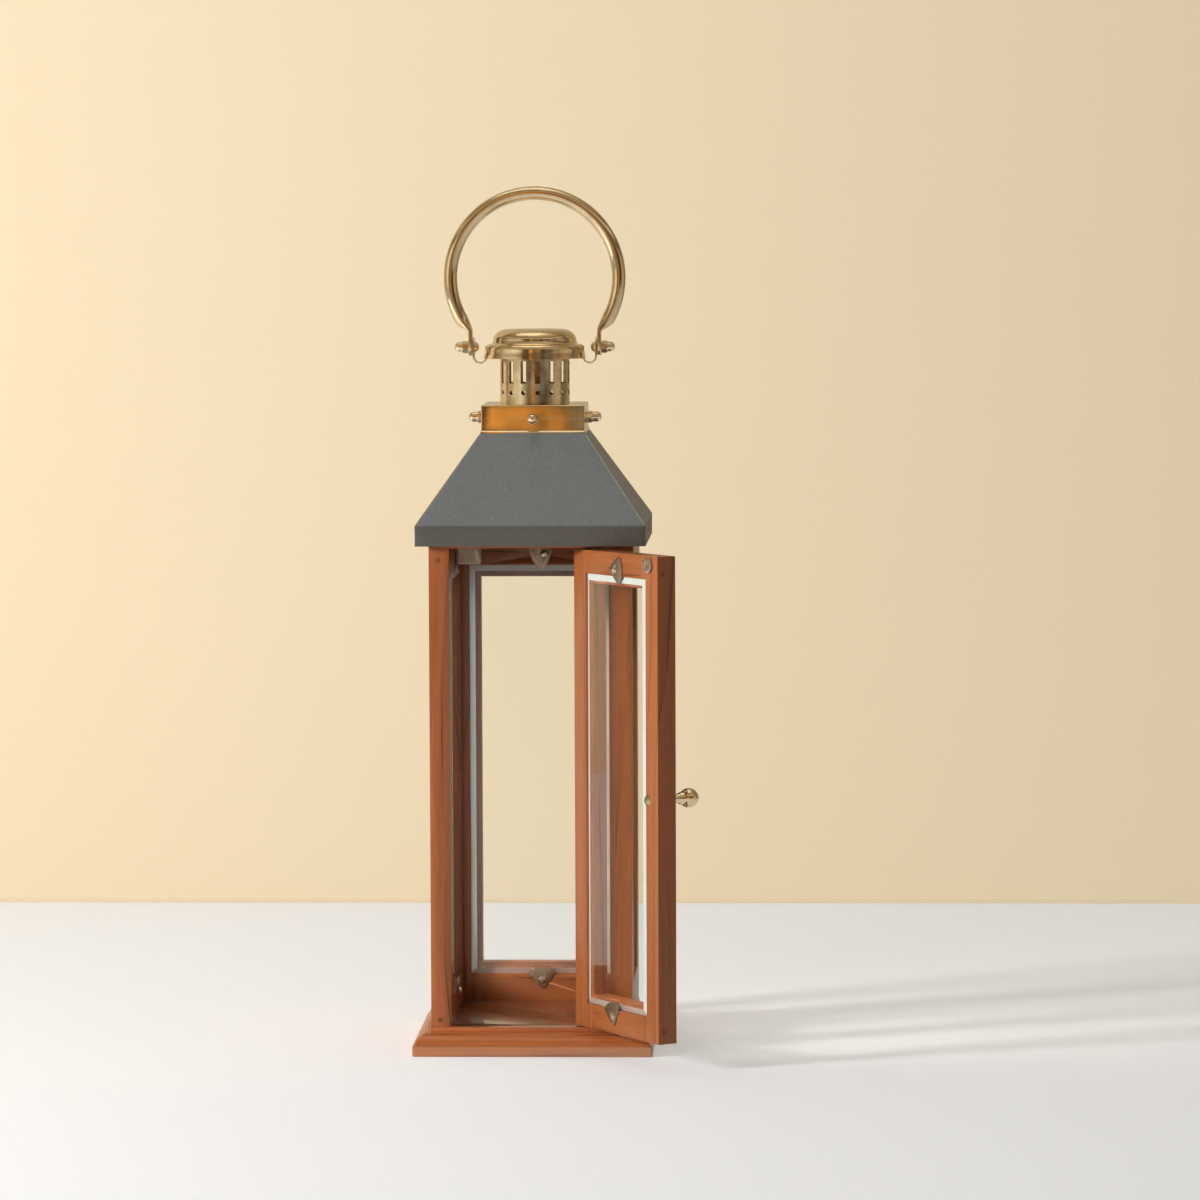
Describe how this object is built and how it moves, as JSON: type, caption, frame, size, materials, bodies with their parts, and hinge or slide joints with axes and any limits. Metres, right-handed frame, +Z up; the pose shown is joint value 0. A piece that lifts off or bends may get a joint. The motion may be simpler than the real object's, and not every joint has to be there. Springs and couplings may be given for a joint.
{
  "type": "candle lantern",
  "caption": "Tall square wooden candle lantern with glass sides, a hinged glass door, a sheet-metal hood, a slotted chimney with a round cap, and a ring bail.",
  "frame": {"origin": "centre of the plinth's underside, on the surface the lantern stands on", "axes": "+Z up, front with the door towards -Y, the door's hinge side towards +X"},
  "size_m": [0.2122, 0.253, 0.6384],
  "materials": {
    "base_wood": "varnished, red-brown, satin",
    "frame_wood": "varnished, red-brown, satin",
    "floor_varnish": "varnished, glossy",
    "dowel_wood": "varnished end grain",
    "door_wood": "varnished, orange-brown, satin",
    "pane_glass": "clear, ground bevel round the edge",
    "hood_sheet": "dark grey, speckled, worn bright along the hips",
    "polished_brass": "polished, pale gold, clear reflections",
    "nut_brass": "polished, pale gold",
    "clip_sheet": "dull, slightly tarnished",
    "screw_steel": "bright",
    "catch_metal": "scratched",
    "magnet": "dull"
  },
  "bodies": {
    "root": {"base_plinth": "base_wood", "floor_board": "floor_varnish", "base_screws": "screw_steel", "left_front_stile": "frame_wood", "left_back_stile": "frame_wood", "left_bottom_rail": "frame_wood", "left_top_rail": "frame_wood", "right_front_stile": "frame_wood", "right_back_stile": "frame_wood", "right_bottom_rail": "frame_wood", "right_top_rail": "frame_wood", "back_left_stile": "frame_wood", "back_right_stile": "frame_wood", "back_bottom_rail": "frame_wood", "back_top_rail": "frame_wood", "front_header": "frame_wood", "frame_dowels": "dowel_wood", "left_glass": "pane_glass", "right_glass": "pane_glass", "back_glass": "pane_glass", "frame_clip_screws": "screw_steel", "catch_housing": "catch_metal", "catch_magnet": "magnet", "catch_screws": "screw_steel", "hood_battens": "frame_wood", "hood": "hood_sheet", "hood_screws": "hood_sheet", "collar": "polished_brass", "collar_bolts": "nut_brass", "collar_cap_nuts": "nut_brass", "chimney_tube": "polished_brass", "handle_strap": "polished_brass", "cap": "polished_brass", "bail_bolts": "nut_brass", "bail_cap_nuts": "nut_brass"},
    "door": {"door_hinge_stile": "door_wood", "door_latch_stile": "door_wood", "door_top_rail": "door_wood", "door_bottom_rail": "door_wood", "door_dowels": "dowel_wood", "door_glass": "pane_glass", "door_pivot_pins": "screw_steel", "door_clip_screws": "screw_steel", "door_knob": "nut_brass", "knob_screw": "screw_steel", "strike_disc": "screw_steel", "strike_screw": "screw_steel"},
    "bail": {"bail": "polished_brass"},
    "back_top_clip_body": {"back_top_clip": "clip_sheet"},
    "back_bottom_clip_body": {"back_bottom_clip": "clip_sheet"},
    "left_top_clip_body": {"left_top_clip": "clip_sheet"},
    "left_bottom_clip_body": {"left_bottom_clip": "clip_sheet"},
    "right_top_clip_body": {"right_top_clip": "clip_sheet"},
    "right_bottom_clip_body": {"right_bottom_clip": "clip_sheet"},
    "door_top_clip_body": {"door_top_clip": "clip_sheet"},
    "door_bottom_clip_body": {"door_bottom_clip": "clip_sheet"}
  },
  "joints": [
    {"name": "door_hinge", "type": "hinge", "parent": "root", "child": "door", "pos_m": [0.04665, -0.0705, 0.0203], "axis": [0, 0, 1], "range_deg": [-123, 18]},
    {"name": "bail_swing", "type": "hinge", "parent": "root", "child": "bail", "pos_m": [0, 0, 0.5193], "axis": [1, 0, 0], "range_deg": [-143, 143]},
    {"name": "back_top_clip_turn", "type": "hinge", "parent": "root", "child": "back_top_clip_body", "pos_m": [0.0034, 0.06, 0.3613], "axis": [0, -1, 0], "continuous": true},
    {"name": "back_bottom_clip_turn", "type": "hinge", "parent": "root", "child": "back_bottom_clip_body", "pos_m": [0.0004, 0.06, 0.0364], "axis": [0, -1, 0], "continuous": true},
    {"name": "left_top_clip_turn", "type": "hinge", "parent": "root", "child": "left_top_clip_body", "pos_m": [-0.06, 0, 0.3613], "axis": [1, 0, 0], "continuous": true},
    {"name": "left_bottom_clip_turn", "type": "hinge", "parent": "root", "child": "left_bottom_clip_body", "pos_m": [-0.06, 0, 0.0364], "axis": [1, 0, 0], "continuous": true},
    {"name": "right_top_clip_turn", "type": "hinge", "parent": "root", "child": "right_top_clip_body", "pos_m": [0.06, 0, 0.3613], "axis": [-1, 0, 0], "continuous": true},
    {"name": "right_bottom_clip_turn", "type": "hinge", "parent": "root", "child": "right_bottom_clip_body", "pos_m": [0.06, 0, 0.0364], "axis": [-1, 0, 0], "continuous": true},
    {"name": "door_top_clip_turn", "type": "hinge", "parent": "door", "child": "door_top_clip_body", "pos_m": [0.06328, -0.11539, 0.3607], "axis": [-0.8387, -0.5446, 0], "continuous": true},
    {"name": "door_bottom_clip_turn", "type": "hinge", "parent": "door", "child": "door_bottom_clip_body", "pos_m": [0.06088, -0.11169, 0.0342], "axis": [-0.8387, -0.5446, 0], "continuous": true}
  ]
}
